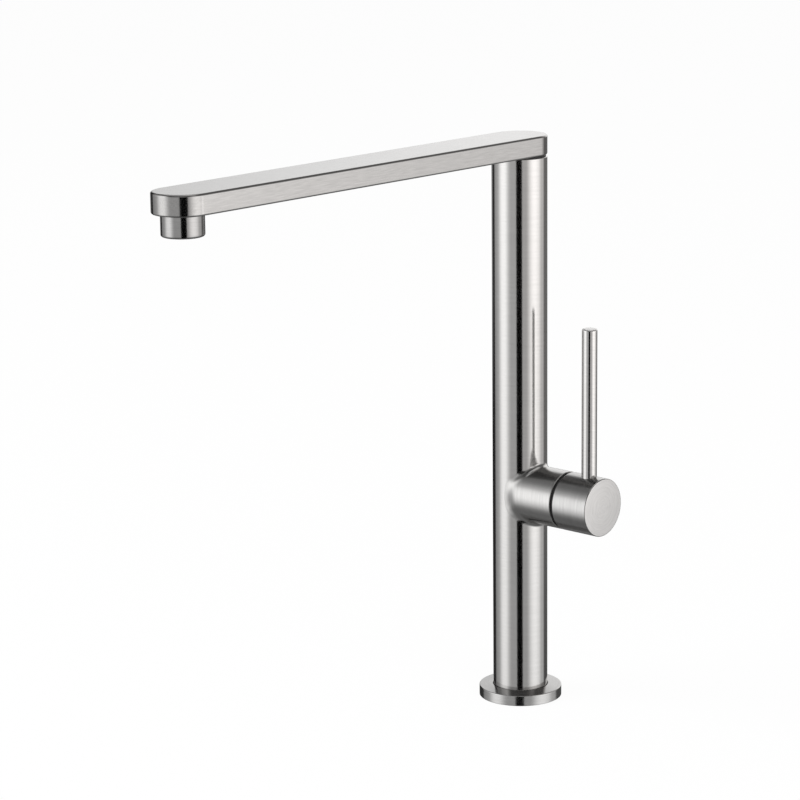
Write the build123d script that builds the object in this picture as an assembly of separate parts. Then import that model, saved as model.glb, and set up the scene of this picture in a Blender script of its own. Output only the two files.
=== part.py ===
from build123d import *
import os
from math import asin, cos, degrees, radians, sin

# Outside sizes of the faucet, in millimetres
overall_height = 334.6
spout_reach = 265.6
spout_depth = 11.5
column_diameter = 32.0
flange_diameter = 48.6
flange_thickness = 6.4
valve_height = 124.7
stub_diameter = 33.8
stub_reach = 35.7
groove_width = 2.0
cap_length = 24.4
lever_diameter = 8.8
lever_rise = 103.3
lever_setback = 13.9
aerator_diameter = 22.8
aerator_drop = 11.9
swivel_gap = 1.0

# Clearances between pieces
seat_gap = 0.02
running_gap = 0.05
free_gap = 0.3

# Edges that are eased or broken
flange_chamfer = 0.6
flange_inner_chamfer = 0.4
column_chamfer = 0.4
spout_top_radius = 1.5
spout_bottom_radius = 1.0
stub_chamfer = 0.4
stub_heel_chamfer = 1.0
cap_chamfer = 0.5
lever_chamfer = 0.7
aerator_radius = 0.8

# Turns and counts
quarter_turn = 90.0
full_turn = 360.0
hexagon_sides = 6

# Column and foot
column_wall = 1.5
foot_ledge_width = 3.0
foot_recess_depth = 2.5
foot_head_inset = 0.6
ledge_thickness = 1.5
foot_insert_length = 22.0
base_seal_inset = 1.5
base_seal_width = 2.0
base_seal_depth = 1.5

# Water ways and their tubes
inlet_angle = 61.6
inlet_port_wall = 1.57
inlet_thread_bore = 9.0
inlet_thread_depth = 12.0
stud_thread_bore = 6.8
stud_thread_depth = 15.0
stud_port_wall = 3.08
inlet_tube_diameter = 8.0
riser_diameter = 10.0
tube_wall = 1.0
tube_socket_depth = 6.0
inlet_port_diameter = 4.0
outlet_port_diameter = 6.0

# Valve block and cartridge, lengths run along the stub
valve_block_height = 40.0
valve_floor = 8.0
stub_heel = 6.0
stub_wall = 4.0
cartridge_seal_thickness = 1.2
cartridge_base_thickness = 2.5
cartridge_wall = 2.25
cartridge_neck_inset = 1.3
cartridge_neck_diameter = 16.0
cartridge_neck_length = 6.5
fixed_disc_thickness = 2.5
moving_disc_thickness = 3.2
disc_pocket_depth = 1.5
disc_pocket_spread = 30.0
cold_pocket_angle = 230.0
hot_pocket_angle = 0.0
disc_rim_gap = 0.4
nut_notch_width = 3.0
nut_notch_depth = 2.0
nut_notch_reach = 1.5
nut_notch_count = 4

# Spindle and handle
handle_travel = 90.0
stop_key_spread = 20.0
stop_key_angle = 180.0
stop_key_depth = 3.0
stop_slack = 1.0
driver_thickness = 3.0
drive_dog_diameter = 2.4
drive_dog_length = 1.0
drive_dog_ring = 10.4
drive_dog_angle = 25.0
drive_dog_count = 2
stem_diameter = 10.0
stem_o_ring_section = 1.4
stem_o_ring_offset = 5.0
spline_flat = 5.2
spline_turn = 45.0
bush_diameter = 10.0
cap_cavity_depth = 6.0
cap_end_wall = 4.5
lever_seat_depth = 4.9
lever_thread_diameter = 6.0
lever_thread_floor = 1.0
set_screw_diameter = 4.0
set_screw_inset = 0.9
set_screw_socket_flats = 2.0
set_screw_socket_depth = 3.0
handle_ring_inset = 1.5
handle_ring_width = 1.8

# Swivel joint at the column's top
pivot_diameter = 20.0
pivot_wall = 4.0
pivot_tail = 6.0
pivot_flange_width = 3.5
pivot_flange_thickness = 2.0
collar_chamber_depth = 8.0
collar_chamber_step = 0.6
collar_base_floor = 2.0
bush_wall = 1.0
lower_bush_length = 5.0
upper_bush_length = 6.0
o_ring_section = 2.3
o_ring_bore_gap = 0.4
o_ring_margin = 3.0
o_ring_pitch = 7.0
stop_to_ring = 7.5
clip_thickness = 1.2
clip_depth = 1.5
clip_stand_out = 1.2
clip_opening = 60.0
swivel_travel = 140.0
stop_pin_diameter = 2.4
stop_pin_margin = 3.5
stop_slot_depth = 1.6
glide_ring_inset = 0.8

# Spout and aerator
spout_wall = 1.6
boss_thread_wall = 2.2
boss_flange_width = 2.3
boss_flange_thickness = 1.5
aerator_wall = 1.2
aerator_lip_width = 1.0
aerator_lip_thickness = 1.2
insert_length = 4.3
insert_cell_diameter = 2.4
insert_cell_wall = 0.6
screen_thickness = 0.5
screen_hole_diameter = 1.2
screen_hole_wall = 0.7
screen_ring_count = 4
aerator_washer_thickness = 1.0
insert_ring_count = 2
holes_per_ring = 6

# Radii shared by several pieces
column_radius = column_diameter / 2
column_bore = column_radius - column_wall
stub_radius = stub_diameter / 2
stub_bore = stub_radius - stub_wall
lever_radius = lever_diameter / 2
pivot_radius = pivot_diameter / 2
pivot_bore = pivot_radius - pivot_wall
core_radius = column_bore - seat_gap
bush_bore = pivot_radius + running_gap
bush_seat = bush_bore + bush_wall
o_ring_bore = pivot_radius + o_ring_bore_gap
o_ring_radius = o_ring_bore - running_gap
collar_chamber = bush_seat + seat_gap + collar_chamber_step
foot_recess = column_bore + foot_ledge_width
base_seal_outer = flange_diameter / 2 - base_seal_inset
base_seal_inner = base_seal_outer - base_seal_width
stud_front = core_radius - stud_port_wall - stud_thread_bore / 2
inlet_ring = core_radius - inlet_port_wall - inlet_thread_bore / 2
inlet_back = inlet_ring * cos(radians(inlet_angle))
inlet_side = inlet_ring * sin(radians(inlet_angle))
inlet_port = inlet_port_diameter / 2
outlet_port = outlet_port_diameter / 2
inlet_tube_radius = inlet_tube_diameter / 2
riser_radius = riser_diameter / 2
cartridge_radius = stub_bore - seat_gap
cartridge_cavity = cartridge_radius - cartridge_wall
moving_disc_radius = cartridge_cavity - disc_rim_gap
stem_radius = stem_diameter / 2
bush_radius = bush_diameter / 2
aerator_outer = aerator_diameter / 2
aerator_bore = aerator_outer - aerator_wall
boss_radius = aerator_bore - seat_gap
boss_bore = boss_radius - boss_thread_wall

# Heights shared by several pieces
column_bottom = foot_recess_depth + ledge_thickness
foot_insert_top = foot_recess_depth + foot_insert_length
spout_underside = overall_height - spout_depth
spout_floor = spout_underside + spout_wall
lid_underside = overall_height - spout_wall
column_top = spout_underside - swivel_gap
block_bottom = valve_height - valve_block_height / 2
block_top = valve_height + valve_block_height / 2
upper_seat_bottom = column_top - upper_bush_length
stop_pin_height = upper_seat_bottom - stop_pin_margin
upper_ring_height = stop_pin_height - stop_to_ring
lower_ring_height = upper_ring_height - o_ring_pitch
lower_seat_top = lower_ring_height - o_ring_margin
chamber_top = lower_seat_top - lower_bush_length
collar_bottom = chamber_top - collar_chamber_depth
riser_top = collar_bottom - collar_base_floor
collar_base_bottom = riser_top - tube_socket_depth
clip_top = chamber_top - running_gap
pivot_bottom = chamber_top - pivot_tail
aerator_bottom = spout_underside - aerator_drop
aerator_top = spout_underside - free_gap
insert_bottom = aerator_bottom + aerator_lip_thickness
screen_bottom = insert_bottom + insert_length
washer_bottom = screen_bottom + screen_thickness
boss_bottom = washer_bottom + aerator_washer_thickness
lever_seat = valve_height + stub_radius - lever_seat_depth
lever_bottom = valve_height + bush_radius + lever_thread_floor

# Distances along the stub, from the column's axis
cartridge_base_start = valve_floor + cartridge_seal_thickness
cartridge_start = cartridge_base_start + cartridge_base_thickness
moving_disc_start = cartridge_start + fixed_disc_thickness + seat_gap
driver_start = moving_disc_start + moving_disc_thickness + seat_gap
driver_end = driver_start + driver_thickness
cavity_end = driver_end + free_gap
neck_end = stub_reach - cartridge_neck_inset
shoulder_end = neck_end - cartridge_neck_length
cap_start = stub_reach + groove_width
cap_end = cap_start + cap_length
hub_start = cap_start + cap_cavity_depth
hub_end = cap_end - cap_end_wall
lever_place = cap_start + lever_setback
stem_end = hub_start - free_gap

# Placement of pieces that are drawn upright and lie along the stub
along_stub = Pos(0, 0, valve_height) * Rot(0, quarter_turn, 0)


def rod(radius, start, end, x=0, y=0):
    """Return an upright rod between two heights."""
    return Pos(x, y, (start + end) / 2) * Cylinder(radius, end - start)


def ring(outer, inner, start, end, x=0, y=0):
    """Return an upright tube between two heights."""
    return rod(outer, start, end, x, y) - rod(inner, start, end, x, y)


def turned(points):
    """Return a turned solid from pairs of radius and height."""
    return revolve(make_face(Plane.XZ * Polyline(*points, close=True)), Axis.Z)


def sector(outer, inner, start, end, middle, spread):
    """Return a block of ring, centred on an angle and spread about it."""
    section = Pos((outer + inner) / 2, (start + end) / 2) * Rectangle(outer - inner, end - start)
    return Rot(0, 0, middle - spread / 2) * revolve(Plane.XZ * section, Axis.Z, spread)


def o_ring(outer, section, height):
    """Return a seal ring of round section."""
    return Pos(0, 0, height) * Torus(outer - section / 2, section / 2)


def groove(outer, section, height):
    """Return the ring to cut from a shaft for a seal ring."""
    half = section / 2 + free_gap / 2
    return ring(outer + section, outer - section - seat_gap, height - half, height + half)


def spout_outline(inset, start, end):
    """Return the spout's long round-ended block, inset from its outside."""
    outline = SlotCenterToCenter(spout_reach, column_diameter - 2 * inset, rotation=quarter_turn)
    return extrude(Pos(0, -spout_reach / 2, start) * outline, end - start)


def hole_field(diameter, wall, rings, start, end):
    """Return rods in rings about one in the middle, a wall apart."""
    spots = [Pos(0, 0)]
    for number in range(1, rings + 1):
        spots += PolarLocations((diameter + wall) * number, holes_per_ring * number)
    return [spot * rod(diameter / 2, start, end) for spot in spots]


def valve_ports(start, end):
    """Return the two inlet ways and the outlet way through a valve piece."""
    inlets = [rod(inlet_port, start, end, 0, side * inlet_side) for side in (-1, 1)]
    return inlets + [rod(outlet_port, start, end)]


def spline(flat, start, end):
    """Return a toothed rod made of two crossed squares."""
    square = extrude(Pos(0, 0, start) * Rectangle(flat, flat), end - start)
    return square + Rot(0, 0, spline_turn) * square


def make_base_flange():
    """Return the round plate on the deck."""
    outer = flange_diameter / 2
    mouth = column_radius + free_gap
    plate = turned([
        (foot_recess, 0),
        (outer, 0),
        (outer, flange_thickness - flange_chamfer),
        (outer - flange_chamfer, flange_thickness),
        (mouth + flange_inner_chamfer, flange_thickness),
        (mouth, flange_thickness - flange_inner_chamfer),
        (mouth, column_bottom),
        (column_bore, column_bottom),
        (column_bore, foot_recess_depth),
        (foot_recess, foot_recess_depth),
    ])
    return plate - ring(base_seal_outer, base_seal_inner, 0, base_seal_depth)


def make_base_seal():
    """Return the ring let into the flange's underside."""
    return ring(base_seal_outer - seat_gap, base_seal_inner + seat_gap, 0, base_seal_depth)


def make_foot_insert():
    """Return the plug in the column's foot with its two ports and stud hole."""
    bottom = foot_head_inset
    plug = rod(foot_recess - free_gap, bottom, foot_recess_depth)
    plug += rod(core_radius, foot_recess_depth, foot_insert_top)
    plug -= rod(stud_thread_bore / 2, bottom, bottom + stud_thread_depth, stud_front)
    for side in (-1, 1):
        spot = (-inlet_back, side * inlet_side)
        plug -= rod(inlet_thread_bore / 2, bottom, bottom + inlet_thread_depth, *spot)
        plug -= rod(inlet_tube_radius - tube_wall, bottom, foot_insert_top, *spot)
        plug -= rod(inlet_tube_radius + seat_gap, foot_insert_top - tube_socket_depth, foot_insert_top, *spot)
    return plug


def make_column_tube():
    """Return the upright tube with the side hole for the cartridge."""
    tube = turned([
        (column_bore, column_bottom),
        (column_radius, column_bottom),
        (column_radius, column_top - column_chamfer),
        (column_radius - column_chamfer, column_top),
        (column_bore, column_top),
    ])
    return tube - along_stub * rod(stub_bore, 0, stub_reach)


def make_valve_socket():
    """Return the stub that is welded to the column and grips its sides."""
    stub = turned([
        (stub_bore, stub_heel),
        (stub_radius - stub_heel_chamfer, stub_heel),
        (stub_radius, stub_heel + stub_heel_chamfer),
        (stub_radius, stub_reach - stub_chamfer),
        (stub_radius - stub_chamfer, stub_reach),
        (stub_bore, stub_reach),
    ])
    return along_stub * stub - rod(column_radius, 0, overall_height)


def make_valve_block():
    """Return the block in the column with the cartridge's seat and its water ways."""
    block = rod(core_radius, block_bottom, block_top)
    block -= along_stub * rod(stub_bore, valve_floor, stub_reach)
    for side in (-1, 1):
        spot = (-inlet_back, side * inlet_side)
        block -= rod(inlet_port, block_bottom, valve_height, *spot)
        block -= rod(inlet_tube_radius + seat_gap, block_bottom, block_bottom + tube_socket_depth, *spot)
        block -= along_stub * rod(inlet_port, -inlet_back, valve_floor, 0, side * inlet_side)
    block -= along_stub * rod(outlet_port, 0, valve_floor)
    block -= rod(outlet_port, valve_height, block_top)
    return block - rod(riser_radius + seat_gap, block_top - tube_socket_depth, block_top)


def make_inlet_tube(side):
    """Return the tube from one port in the foot to the valve block."""
    bottom = foot_insert_top - tube_socket_depth
    top = block_bottom + tube_socket_depth
    return ring(inlet_tube_radius, inlet_tube_radius - tube_wall, bottom, top, -inlet_back, side * inlet_side)


def make_riser_tube():
    """Return the tube from the valve block to the swivel joint."""
    return ring(riser_radius, riser_radius - tube_wall, block_top - tube_socket_depth, riser_top)


def make_collar_base():
    """Return the plug below the collar that takes the riser."""
    plug = rod(core_radius, collar_base_bottom, collar_bottom)
    plug -= rod(riser_radius - tube_wall, collar_base_bottom, collar_bottom)
    return plug - rod(riser_radius + seat_gap, collar_base_bottom, riser_top)


def make_top_collar():
    """Return the bearing housing in the column's top."""
    seat = bush_seat + seat_gap
    collar = turned([
        (collar_chamber, collar_bottom),
        (core_radius, collar_bottom),
        (core_radius, column_top),
        (seat, column_top),
        (seat, upper_seat_bottom),
        (o_ring_bore, upper_seat_bottom),
        (o_ring_bore, lower_seat_top),
        (seat, lower_seat_top),
        (seat, chamber_top),
        (collar_chamber, chamber_top),
    ])
    return collar - stop_pin_rod(stop_pin_diameter / 2 + seat_gap, pivot_radius, column_radius)


def stop_pin_rod(radius, start, end):
    """Return a rod that points backwards from the column's axis at the stop's height."""
    return Pos(0, 0, stop_pin_height) * Rot(-quarter_turn, 0, 0) * rod(radius, start, end)


def make_swivel_stop_pin():
    """Return the pin whose tip runs in the pivot's slot."""
    tip = pivot_radius - stop_slot_depth + free_gap
    return stop_pin_rod(stop_pin_diameter / 2, tip, core_radius - free_gap)


def make_bush(start, end):
    """Return one plain bearing of the swivel."""
    return ring(bush_seat, bush_bore, start, end)


def make_glide_ring():
    """Return the recessed ring that the spout turns on."""
    outer = column_radius - glide_ring_inset
    return ring(outer, pivot_radius + free_gap, column_top, spout_underside - running_gap)


def make_spout_pivot():
    """Return the hollow shaft under the spout."""
    flange = pivot_radius + pivot_flange_width
    pivot = turned([
        (pivot_bore, pivot_bottom),
        (pivot_radius, pivot_bottom),
        (pivot_radius, spout_floor),
        (flange, spout_floor),
        (flange, spout_floor + pivot_flange_thickness),
        (pivot_bore, spout_floor + pivot_flange_thickness),
    ])
    for height in (lower_ring_height, upper_ring_height):
        pivot -= groove(o_ring_radius, o_ring_section, height)
    clip_bottom = clip_top - clip_thickness
    pivot -= ring(column_radius, pivot_radius - clip_depth, clip_bottom - seat_gap, clip_top + seat_gap)
    tip = pivot_radius - stop_slot_depth
    pin_spread = 2 * degrees(asin(stop_pin_diameter / 2 / tip))
    spread = swivel_travel + pin_spread + 2 * stop_slack
    half = stop_pin_diameter / 2 + free_gap
    low = stop_pin_height - half
    high = stop_pin_height + half
    return pivot - sector(column_radius, tip, low, high, quarter_turn, spread)


def make_retaining_clip():
    """Return the open ring that keeps the pivot in the collar."""
    inner = pivot_radius - clip_depth + seat_gap
    outer = pivot_radius + clip_stand_out
    return sector(outer, inner, clip_top - clip_thickness, clip_top, quarter_turn, full_turn - clip_opening)


def make_spout_shell():
    """Return the spout's floor and side walls."""
    block = spout_outline(0, spout_underside, lid_underside)
    block = fillet(block.edges().group_by(Axis.Z)[0], spout_bottom_radius)
    block -= spout_outline(spout_wall, spout_floor, lid_underside)
    block -= rod(pivot_radius + seat_gap, spout_underside, spout_floor)
    return block - rod(boss_radius + seat_gap, spout_underside, spout_floor, 0, -spout_reach)


def make_spout_top_plate():
    """Return the spout's lid."""
    plate = spout_outline(0, lid_underside, overall_height)
    return fillet(plate.edges().group_by(Axis.Z)[-1], min(spout_top_radius, spout_wall - seat_gap))


def make_outlet_boss():
    """Return the threaded boss in the spout's tip."""
    flange = boss_radius + boss_flange_width
    boss = turned([
        (boss_bore, boss_bottom),
        (boss_radius, boss_bottom),
        (boss_radius, spout_floor),
        (flange, spout_floor),
        (flange, spout_floor + boss_flange_thickness),
        (boss_bore, spout_floor + boss_flange_thickness),
    ])
    return Pos(0, -spout_reach, 0) * boss


def make_aerator_housing():
    """Return the round collar under the spout's tip."""
    shell = rod(aerator_outer, aerator_bottom, aerator_top)
    shell = fillet(shell.edges().group_by(Axis.Z)[0], aerator_radius)
    shell -= rod(aerator_bore, insert_bottom, aerator_top)
    shell -= rod(aerator_bore - aerator_lip_width, aerator_bottom, insert_bottom)
    return Pos(0, -spout_reach, 0) * shell


def make_aerator_insert():
    """Return the flow straightener with its round cells."""
    disc = rod(boss_radius, insert_bottom, screen_bottom)
    disc -= hole_field(
        insert_cell_diameter, insert_cell_wall, insert_ring_count, insert_bottom, screen_bottom
    )
    return Pos(0, -spout_reach, 0) * disc


def make_flow_screen():
    """Return the fine perforated disc above the straightener."""
    disc = rod(boss_radius, screen_bottom, washer_bottom)
    disc -= hole_field(
        screen_hole_diameter, screen_hole_wall, screen_ring_count, screen_bottom, washer_bottom
    )
    return Pos(0, -spout_reach, 0) * disc


def make_aerator_washer():
    """Return the flat seal between the boss and the screen."""
    return ring(boss_radius, boss_bore, washer_bottom, boss_bottom, 0, -spout_reach)


def make_cartridge_seal():
    """Return the flat seal on the valve block's seat."""
    disc = rod(cartridge_radius, valve_floor, cartridge_base_start)
    return along_stub * (disc - valve_ports(valve_floor, cartridge_base_start))


def make_cartridge_base():
    """Return the cartridge's port plate."""
    disc = rod(cartridge_radius, cartridge_base_start, cartridge_start)
    return along_stub * (disc - valve_ports(cartridge_base_start, cartridge_start))


def make_fixed_disc():
    """Return the ceramic disc that stays still."""
    end = cartridge_start + fixed_disc_thickness
    disc = rod(cartridge_cavity - seat_gap, cartridge_start, end)
    return along_stub * (disc - valve_ports(cartridge_start, end))


def make_moving_disc():
    """Return the ceramic disc that the handle turns."""
    end = moving_disc_start + moving_disc_thickness
    pocket_end = moving_disc_start + disc_pocket_depth
    disc = rod(moving_disc_radius, moving_disc_start, end)
    disc -= rod(outlet_port, moving_disc_start, pocket_end)
    for angle in (cold_pocket_angle, hot_pocket_angle):
        disc -= sector(inlet_side + inlet_port, 0, moving_disc_start, pocket_end, angle, disc_pocket_spread)
    hole = rod(drive_dog_diameter / 2 + seat_gap, end - drive_dog_length, end)
    disc -= [spot * hole for spot in PolarLocations(drive_dog_ring / 2, drive_dog_count, drive_dog_angle)]
    return along_stub * disc


def make_cartridge_body():
    """Return the cartridge's housing with the stop key inside."""
    bore = stem_radius + running_gap
    neck = cartridge_neck_diameter / 2
    body = turned([
        (cartridge_cavity, cartridge_start),
        (cartridge_radius, cartridge_start),
        (cartridge_radius, shoulder_end),
        (neck, shoulder_end),
        (neck, neck_end),
        (bore, neck_end),
        (bore, cavity_end),
        (cartridge_cavity, cavity_end),
    ])
    tip = moving_disc_radius - stop_key_depth + free_gap
    key = sector(cartridge_cavity + seat_gap, tip, driver_start, cavity_end, stop_key_angle, stop_key_spread)
    return along_stub * (body + key)


def make_spindle():
    """Return the spindle with its driver, stop notch, seal groove and toothed end."""
    spindle = rod(moving_disc_radius, driver_start, driver_end) + rod(stem_radius, driver_end, stem_end)
    spread = handle_travel + stop_key_spread + 2 * stop_slack
    middle = stop_key_angle - handle_travel / 2
    notch_floor = moving_disc_radius - stop_key_depth
    spindle -= sector(stub_radius, notch_floor, driver_start, driver_end, middle, spread)
    spindle -= groove(stem_radius, stem_o_ring_section, cavity_end + stem_o_ring_offset)
    spindle += spline(spline_flat, stem_end, hub_end - free_gap)
    dog = rod(drive_dog_diameter / 2, driver_start - drive_dog_length, driver_start)
    spindle += [spot * dog for spot in PolarLocations(drive_dog_ring / 2, drive_dog_count, drive_dog_angle)]
    return along_stub * spindle


def make_spindle_o_ring():
    """Return the seal ring on the spindle."""
    return along_stub * o_ring(stem_radius, stem_o_ring_section, cavity_end + stem_o_ring_offset)


def make_cartridge_nut():
    """Return the notched ring nut that holds the cartridge."""
    nut = ring(cartridge_radius, cartridge_neck_diameter / 2 + seat_gap, shoulder_end, neck_end)
    notch = Box(2 * nut_notch_reach, nut_notch_width, 2 * nut_notch_depth)
    nut -= [spot * Pos(0, 0, neck_end) * notch for spot in PolarLocations(cartridge_radius, nut_notch_count)]
    return along_stub * nut


def make_handle_glide_ring():
    """Return the recessed ring between stub and cap."""
    outer = stub_radius - handle_ring_inset
    return along_stub * ring(outer, outer - handle_ring_width, stub_reach, cap_start - running_gap)


def make_handle_cap():
    """Return the turning cap with its hub bore, lever seat and screw hole."""
    cap = turned([
        (0, cap_start),
        (stub_radius - stub_chamfer, cap_start),
        (stub_radius, cap_start + stub_chamfer),
        (stub_radius, cap_end - cap_chamfer),
        (stub_radius - cap_chamfer, cap_end),
        (0, cap_end),
    ])
    cap -= rod(stub_bore, cap_start, hub_start)
    cap -= rod(bush_radius + seat_gap, hub_start, hub_end)
    cap = along_stub * cap
    cap -= rod(lever_radius + seat_gap, lever_seat, valve_height + lever_rise, lever_place)
    cap -= rod(lever_thread_diameter / 2 + seat_gap, lever_bottom, lever_seat, lever_place)
    return cap - rod(set_screw_diameter / 2 + seat_gap, valve_height - stub_radius, valve_height, lever_place)


def make_lever_pin():
    """Return the upright lever with its threaded end."""
    top = valve_height + lever_rise
    thread = lever_thread_diameter / 2
    lever = turned([
        (0, lever_bottom),
        (thread, lever_bottom),
        (thread, lever_seat),
        (lever_radius, lever_seat),
        (lever_radius, top - lever_chamfer),
        (lever_radius - lever_chamfer, top),
        (0, top),
    ])
    return Pos(lever_place, 0, 0) * lever


def make_spline_bush():
    """Return the toothed sleeve between spindle and cap."""
    bush = rod(bush_radius, hub_start, hub_end)
    return along_stub * (bush - spline(spline_flat + 2 * seat_gap, hub_start, hub_end))


def make_handle_set_screw():
    """Return the grub screw in the cap's underside."""
    bottom = valve_height - stub_radius + set_screw_inset
    screw = rod(set_screw_diameter / 2, bottom, valve_height - bush_radius - seat_gap, lever_place)
    socket = RegularPolygon(set_screw_socket_flats / 2, hexagon_sides, major_radius=False)
    return screw - extrude(Pos(lever_place, 0, bottom) * socket, set_screw_socket_depth)


pieces = {
    "base_flange": make_base_flange(),
    "base_seal": make_base_seal(),
    "foot_insert": make_foot_insert(),
    "column_tube": make_column_tube(),
    "valve_socket": make_valve_socket(),
    "valve_block": make_valve_block(),
    "hot_inlet_tube": make_inlet_tube(1),
    "cold_inlet_tube": make_inlet_tube(-1),
    "riser_tube": make_riser_tube(),
    "collar_base": make_collar_base(),
    "top_collar": make_top_collar(),
    "upper_bush": make_bush(upper_seat_bottom, column_top),
    "lower_bush": make_bush(chamber_top, lower_seat_top),
    "swivel_stop_pin": make_swivel_stop_pin(),
    "glide_ring": make_glide_ring(),
    "spout_pivot": make_spout_pivot(),
    "upper_o_ring": o_ring(o_ring_radius, o_ring_section, upper_ring_height),
    "lower_o_ring": o_ring(o_ring_radius, o_ring_section, lower_ring_height),
    "retaining_clip": make_retaining_clip(),
    "spout_shell": make_spout_shell(),
    "spout_top_plate": make_spout_top_plate(),
    "outlet_boss": make_outlet_boss(),
    "aerator_washer": make_aerator_washer(),
    "flow_screen": make_flow_screen(),
    "aerator_insert": make_aerator_insert(),
    "aerator_housing": make_aerator_housing(),
    "cartridge_seal": make_cartridge_seal(),
    "cartridge_base": make_cartridge_base(),
    "cartridge_body": make_cartridge_body(),
    "cartridge_nut": make_cartridge_nut(),
    "fixed_disc": make_fixed_disc(),
    "moving_disc": make_moving_disc(),
    "spindle": make_spindle(),
    "spindle_o_ring": make_spindle_o_ring(),
    "spline_bush": make_spline_bush(),
    "handle_glide_ring": make_handle_glide_ring(),
    "handle_cap": make_handle_cap(),
    "lever_pin": make_lever_pin(),
    "handle_set_screw": make_handle_set_screw(),
}

os.makedirs("parts", exist_ok=True)
for name, piece in pieces.items():
    export_step(piece, f"parts/{name}.step")
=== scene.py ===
"""Looks of a slim kitchen faucet in brushed steel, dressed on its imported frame.

Sizes are in millimetres and turn into metres when a mesh is laid. The column
stands on Z, the spout points along -Y and the valve stub leaves along +X.
"""

import sys
import logging
import math
from abc import ABC, abstractmethod
from dataclasses import dataclass, replace
from enum import Enum
from typing import Any, Optional, Union

import bmesh
import bpy
from mathutils import Matrix, Vector


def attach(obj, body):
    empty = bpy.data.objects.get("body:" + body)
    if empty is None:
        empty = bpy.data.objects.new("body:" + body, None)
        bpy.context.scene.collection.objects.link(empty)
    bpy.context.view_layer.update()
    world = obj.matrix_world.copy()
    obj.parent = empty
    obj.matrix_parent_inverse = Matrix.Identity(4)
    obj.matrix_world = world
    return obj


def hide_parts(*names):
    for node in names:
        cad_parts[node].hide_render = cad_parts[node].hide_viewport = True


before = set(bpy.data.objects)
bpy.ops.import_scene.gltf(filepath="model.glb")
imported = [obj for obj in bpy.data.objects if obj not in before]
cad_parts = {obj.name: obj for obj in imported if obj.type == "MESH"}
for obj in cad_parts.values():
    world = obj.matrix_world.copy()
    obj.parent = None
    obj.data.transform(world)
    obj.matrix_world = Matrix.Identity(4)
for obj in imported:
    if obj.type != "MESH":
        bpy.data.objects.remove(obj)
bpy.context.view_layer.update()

LOG = logging.getLogger("faucet")

Point = tuple[float, float, float]
Colour = tuple[float, float, float]
Ring = list[Point]
Outline = list[tuple[float, float, float]]
Section = list[tuple[float, float]]
Piece = bpy.types.Object

MM = 0.001
ORIGIN = (0.0, 0.0, 0.0)
UPWARD = (0.0, 0.0, 1.0)
WHITE = (1.0, 1.0, 1.0)

# Sizes that more than one sub-assembly uses, in millimetres
COLUMN_RADIUS = 16.0
SPOUT_REACH = 265.6
OUTLET_CENTRE = (0.0, -SPOUT_REACH, 0.0)
VALVE_HEIGHT = 124.7
VALVE_CENTRE = (0.0, 0.0, VALVE_HEIGHT)
STUB_RADIUS = 16.9
STUB_BORE = 12.9
LEVER_CENTRE = (51.6, 0.0, 0.0)
BORE_EASE = 0.2
OVERCUT = 1.0

# How finely meshes are laid: counts, millimetres, and metres for the weld
TURN_STEPS = 192
ARC_STEPS = 6
GUARD = 0.25
GUARD_SHARE = 0.25
LONGEST = 12.0
TINY = 1.0e-6
CREASE = math.radians(32.0)
WELD = 5.0e-6


# Shader building


class Tone:
    """One output of a shader node, with Python's arithmetic on it."""

    def __init__(self, graph: "Graph", socket: bpy.types.NodeSocket) -> None:
        """Hold the graph and the socket that the tone stands for."""
        self.graph = graph
        self.socket = socket

    def math(self, operation: str, *values: "Value") -> "Tone":
        """Return the result of a Math node on values in their order."""
        return self.graph.node("Math", dict(enumerate(values)), {"operation": operation})

    def __add__(self, other: "Value") -> "Tone":
        """Return self + other."""
        return self.math("ADD", self, other)

    def __radd__(self, other: "Value") -> "Tone":
        """Return other + self."""
        return self.math("ADD", other, self)

    def __sub__(self, other: "Value") -> "Tone":
        """Return self - other."""
        return self.math("SUBTRACT", self, other)

    def __rsub__(self, other: "Value") -> "Tone":
        """Return other - self."""
        return self.math("SUBTRACT", other, self)

    def __mul__(self, other: "Value") -> "Tone":
        """Return self * other."""
        return self.math("MULTIPLY", self, other)

    def __rmul__(self, other: "Value") -> "Tone":
        """Return other * self."""
        return self.math("MULTIPLY", other, self)

    def __truediv__(self, other: "Value") -> "Tone":
        """Return self / other."""
        return self.math("DIVIDE", self, other)

    def __rtruediv__(self, other: "Value") -> "Tone":
        """Return other / self."""
        return self.math("DIVIDE", other, self)

    def __pow__(self, other: "Value") -> "Tone":
        """Return self to a power."""
        return self.math("POWER", self, other)

    def __rpow__(self, other: "Value") -> "Tone":
        """Return other to the power of self."""
        return self.math("POWER", other, self)

    def __abs__(self) -> "Tone":
        """Return the size of self."""
        return self.math("ABSOLUTE", self)

    def above(self, other: "Value") -> "Tone":
        """Return the larger of self and other."""
        return self.math("MAXIMUM", self, other)

    def below(self, other: "Value") -> "Tone":
        """Return the smaller of self and other."""
        return self.math("MINIMUM", self, other)

    def within(self, middle: float, half: float, feather: float) -> "Tone":
        """Return 1 up to a half width from a middle, falling softly to 0 over the feather beside it."""
        sockets = {"Value": abs(self - middle), "From Min": half + feather, "From Max": half}
        return self.graph.node("MapRange", sockets, {"interpolation_type": "SMOOTHSTEP"})


Value = Union[Tone, float]
Settings = dict[str, Any]
Sockets = dict[Union[str, int], Any]


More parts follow.
